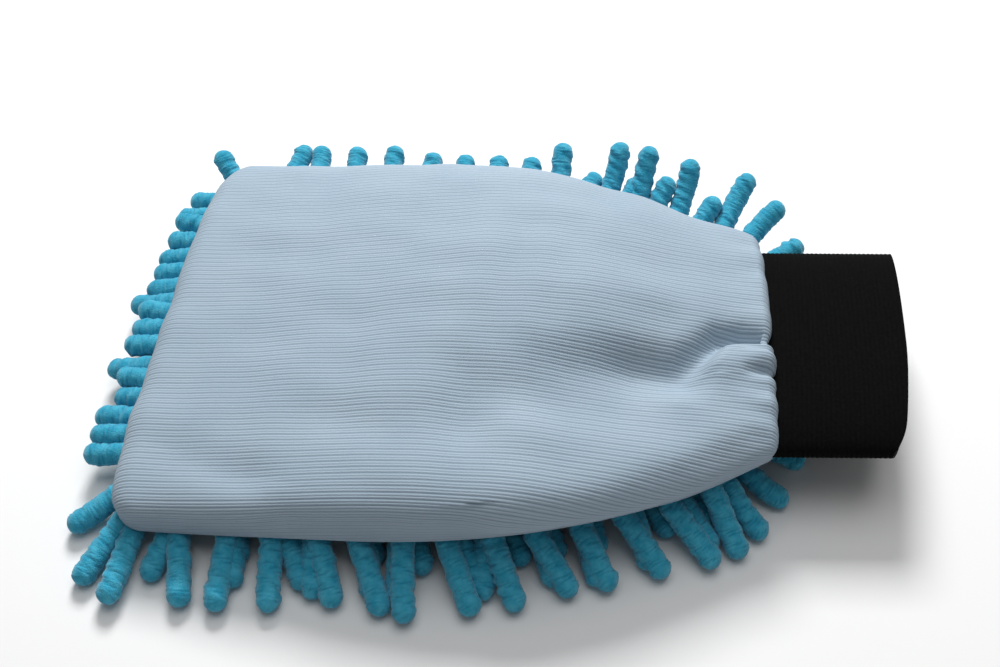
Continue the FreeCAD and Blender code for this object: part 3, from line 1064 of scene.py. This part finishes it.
back = place(make_back_panel(), "ribbed_microfibre", ["back_panel", "neck_gather_back"], "neck")
wadding = place(make_wadding(), "wadding", ["back_wadding"], "hand_pocket")
back_lining = place(make_back_lining(), "lining", ["back_lining"], "neck")
palm = place(make_palm_cloth(), "knit_base", ["palm_base_cloth", "neck_gather_palm"], "neck")
palm_lining = place(make_palm_lining(), "lining", ["palm_lining"], "neck")
place(make_seam_allowance(), "ribbed_microfibre", ["perimeter_seam_allowance"], "hand_pocket")
place(make_seam_thread(), "seam_thread", ["perimeter_seam_thread"], "hand_pocket")
place(make_cuff_allowance(), "ribbed_microfibre",
      ["cuff_seam_allowance_lower", "cuff_seam_allowance_upper"], "cuff")
place(make_cuff_thread(), "black_thread", ["cuff_seam_thread_lower", "cuff_seam_thread_upper"],
      "cuff")
place(make_cuff_join(), "woven_elastic", ["cuff_join_lap"], "cuff_lower")
place(make_join_stitches(), "black_thread", ["cuff_join_stitches"], "cuff_lower")

for number, piece in enumerate(make_noodle_rows(), start=1):
    place(piece, "chenille", [f"noodle_row_{number:02d}"], "hand_pocket")
place(make_cuff(), "woven_elastic", ["cuff_band_lower", "cuff_band_upper"], "cuff")

for entry in frame["record"]["subparts"]:
    node = frame["nodes"][entry["node"]]
    if not node.hide_render:
        dress(node, entry["material_slot"])


# ---- floor, light and camera ----

def make_floor():
    bpy.ops.mesh.primitive_plane_add(size=6.0, location=(0, 0, -0.0002))
    floor = bpy.context.object
    floor.name = "floor"
    material, _, _, shader = node_material("floor")
    shader.inputs["Base Color"].default_value = (0.86, 0.86, 0.86, 1)
    shader.inputs["Roughness"].default_value = 0.9
    floor.data.materials.append(material)


def area_light(name, location, size, power):
    light = bpy.data.lights.new(name, "AREA")
    light.energy = power
    light.size = size
    piece = bpy.data.objects.new(name, light)
    piece.location = location
    aim = Vector((0, 0, 0.02)) - Vector(location)
    piece.rotation_euler = aim.to_track_quat("-Z", "Y").to_euler()
    bpy.context.scene.collection.objects.link(piece)


def make_world(strength):
    world = bpy.data.worlds.new("studio")
    world.use_nodes = True
    world.node_tree.nodes["Background"].inputs["Color"].default_value = (1, 1, 1, 1)
    world.node_tree.nodes["Background"].inputs["Strength"].default_value = strength
    bpy.context.scene.world = world


def make_camera():
    azimuth, elevation, roll = (math.radians(a) for a in (6.2, 50.94, -0.42))
    distance, target = 0.49065, Vector((-0.0039, 0.0047, 0.020))
    back_dir = Vector((math.sin(azimuth) * math.cos(elevation),
                       -math.cos(azimuth) * math.cos(elevation), math.sin(elevation)))
    camera = bpy.data.cameras.new("camera")
    camera.lens = 46.8
    camera.sensor_width = 36.0
    piece = bpy.data.objects.new("camera", camera)
    piece.location = target + back_dir * distance
    look = (-back_dir).to_track_quat("-Z", "Y").to_matrix()
    spin = Euler((0, 0, roll)).to_matrix()
    piece.rotation_euler = (look @ spin).to_euler()
    bpy.context.scene.collection.objects.link(piece)
    bpy.context.scene.camera = piece


make_floor()
make_world(strength=0.17)
area_light("key", location=(-0.12, 0.82, 0.93), size=0.40, power=16.0)
area_light("overhead", location=(0.05, 0.1, 1.2), size=0.9, power=5.5)
make_camera()
bpy.context.scene.view_settings.view_transform = "Standard"
